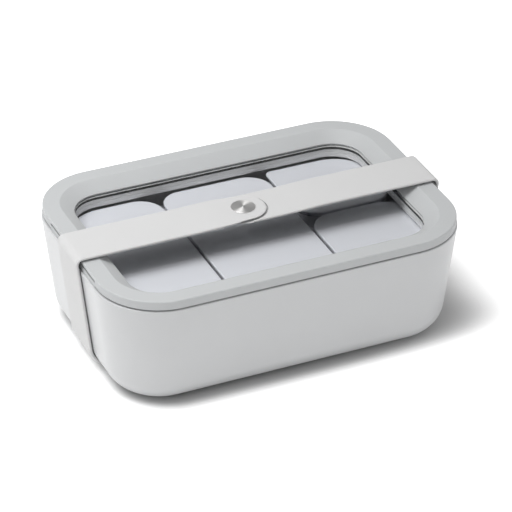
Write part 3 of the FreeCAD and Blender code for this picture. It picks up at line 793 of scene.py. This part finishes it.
scene = bpy.context.scene
floor_mesh = bpy.data.meshes.new("floor")
floor_corners = [(x * FLOOR_HALF, y * FLOOR_HALF, 0) for x, y in ((-1, -1), (1, -1), (1, 1), (-1, 1))]
floor_mesh.from_pydata(floor_corners, [], [(0, 1, 2, 3)])
floor = placed("floor", floor_mesh)
floor_paper, floor_tree, floor_shader, floor_place = finish("floor_paper")
floor_shader.inputs["Roughness"].default_value = 0.9
floor_shader.inputs["Specular IOR Level"].default_value = 0.1
floor_shader.inputs["Emission Color"].default_value = (1, 1, 1, 1)
floor_start = (TUB_CORNER - tub_high.x + FLOOR_LEAN, TUB_CORNER - tub_high.y, 0)
floor_past = []
for end in (-1, 1):
    floor_past.append(add(floor_tree, "ShaderNodeVectorMath", {
        0: floor_place, 1: (-1, end, 0), 2: floor_start}, operation="MULTIPLY_ADD").outputs["Vector"])
floor_out = add(floor_tree, "ShaderNodeVectorMath", {0: floor_past[0], 1: floor_past[1]}, operation="MAXIMUM")
floor_clear = add(floor_tree, "ShaderNodeVectorMath", {
    0: floor_out.outputs["Vector"], 1: (0, 0, 0)}, operation="MAXIMUM")
floor_near = add(floor_tree, "ShaderNodeVectorMath", {0: floor_clear.outputs["Vector"]}, operation="LENGTH")
floor_along = add(floor_tree, "ShaderNodeVectorMath", {
    0: floor_place, 1: (FLOOR_CAST, 0, 0)}, operation="DOT_PRODUCT")
floor_far = add(floor_tree, "ShaderNodeMath", {
    0: floor_near.outputs["Value"], 1: floor_along.outputs["Value"], 2: FLOOR_CORNER}, operation="SMOOTH_MAX")
floor_seen = add(floor_tree, "ShaderNodeLightPath").outputs
floor_first = add(floor_tree, "ShaderNodeMath", {
    0: floor_seen["Is Camera Ray"], 1: floor_seen["Is Glossy Ray"]}, operation="MAXIMUM")
floor_shown = add(floor_tree, "ShaderNodeMath", {
    0: floor_first.outputs[0], 1: floor_seen["Is Transmission Ray"]}, operation="MAXIMUM")
floor_unseen = add(floor_tree, "ShaderNodeMath", {0: 1.0, 1: floor_shown.outputs[0]}, operation="SUBTRACT")
# Painted shadow: as the camera sees it, the floor's base colour is painted dark near the box and far out
# along its right side.
floor_past_painted_shade = add(floor_tree, "ShaderNodeMapRange", {
    "Value": floor_far.outputs[0], "From Min": FLOOR_PAINTED_SHADE_SPAN[0], "From Max": FLOOR_PAINTED_SHADE_SPAN[1]})
floor_unshaded_share = add(floor_tree, "ShaderNodeMath", {
    0: floor_past_painted_shade.outputs["Result"], 1: floor_unseen.outputs[0]}, operation="MAXIMUM")
floor_painted_shade, floor_pale = [(tone, tone, tone, 1) for tone in FLOOR_SHADE_AND_PAPER]
floor_shade_mix = add(floor_tree, "ShaderNodeMix", {
    0: floor_unshaded_share.outputs[0], 6: floor_painted_shade, 7: floor_pale}, data_type="RGBA")
floor_tree.links.new(floor_shade_mix.outputs[2], floor_shader.inputs["Base Color"])
floor_white = add(floor_tree, "ShaderNodeMapRange", {
    "Value": floor_far.outputs[0], "From Min": FLOOR_FADE[0], "From Max": FLOOR_FADE[1],
    "To Max": FLOOR_WHITE}, interpolation_type="SMOOTHSTEP")
floor_lift = add(floor_tree, "ShaderNodeMath", {
    0: floor_shown.outputs[0], 1: floor_white.outputs["Result"]}, operation="MULTIPLY")
floor_tree.links.new(floor_lift.outputs[0], floor_shader.inputs["Emission Strength"])
floor_mesh.materials.append(floor_paper)

world = bpy.data.worlds.new("studio")
world.use_nodes = True
scene.world = world
sky = world.node_tree
height = add(sky, "ShaderNodeSeparateXYZ", {"Vector": add(sky, "ShaderNodeTexCoord").outputs["Generated"]})
levels = []
for low_level, high_level in ((BACKDROP_LEVEL, CEILING_LEVEL), MIRRORED_LEVELS):
    levels.append(add(sky, "ShaderNodeMapRange", {
        "Value": height.outputs["Z"], "From Min": BACKDROP_RISE[0], "From Max": BACKDROP_RISE[1],
        "To Min": low_level, "To Max": high_level}, interpolation_type="SMOOTHSTEP").outputs["Result"])
seen = add(sky, "ShaderNodeLightPath").outputs
mirrored = add(sky, "ShaderNodeMath", {
    0: seen["Is Glossy Ray"], 1: seen["Is Transmission Ray"]}, operation="MAXIMUM")
shown = add(sky, "ShaderNodeMix", {0: mirrored.outputs[0], 2: levels[0], 3: levels[1]})
strength = add(sky, "ShaderNodeMath", {0: shown.outputs[0], 1: seen["Is Camera Ray"]}, operation="MAXIMUM")
sky.links.new(strength.outputs[0], sky.nodes["Background"].inputs["Strength"])
sky.nodes["Background"].inputs["Color"].default_value = (1, 1, 1, 1)

for lamp_name, lamp_place, lamp_size, lamp_power in LAMPS:
    lamp = bpy.data.lights.new(lamp_name, "AREA")
    lamp.size = lamp_size
    lamp.energy = lamp_power
    stand = bpy.data.objects.new(lamp_name, lamp)
    stand.location = lamp_place
    stand.rotation_euler = (LID_MIDDLE - Vector(lamp_place)).to_track_quat("-Z", "Y").to_euler()
    scene.collection.objects.link(stand)

back = Vector((
    math.sin(CAMERA_AZIMUTH) * math.cos(CAMERA_ELEVATION),
    -math.cos(CAMERA_AZIMUTH) * math.cos(CAMERA_ELEVATION),
    math.sin(CAMERA_ELEVATION)))
level_right = Vector((math.cos(CAMERA_AZIMUTH), math.sin(CAMERA_AZIMUTH), 0))
level_up = back.cross(level_right)
right = level_right * math.cos(CAMERA_ROLL) + level_up * math.sin(CAMERA_ROLL)
up = level_up * math.cos(CAMERA_ROLL) - level_right * math.sin(CAMERA_ROLL)
eye = bpy.data.cameras.new("eye")
eye.lens = CAMERA_LENS
eye.sensor_width = CAMERA_SENSOR
eye.clip_start = CAMERA_NEAR
camera = bpy.data.objects.new("eye", eye)
camera.rotation_euler = Matrix((right, up, back)).transposed().to_euler()
camera.location = LID_MIDDLE + right * CAMERA_SHIFT[0] + up * CAMERA_SHIFT[1] + back * CAMERA_FAR
scene.collection.objects.link(camera)
scene.camera = camera
scene.view_settings.view_transform = "Standard"
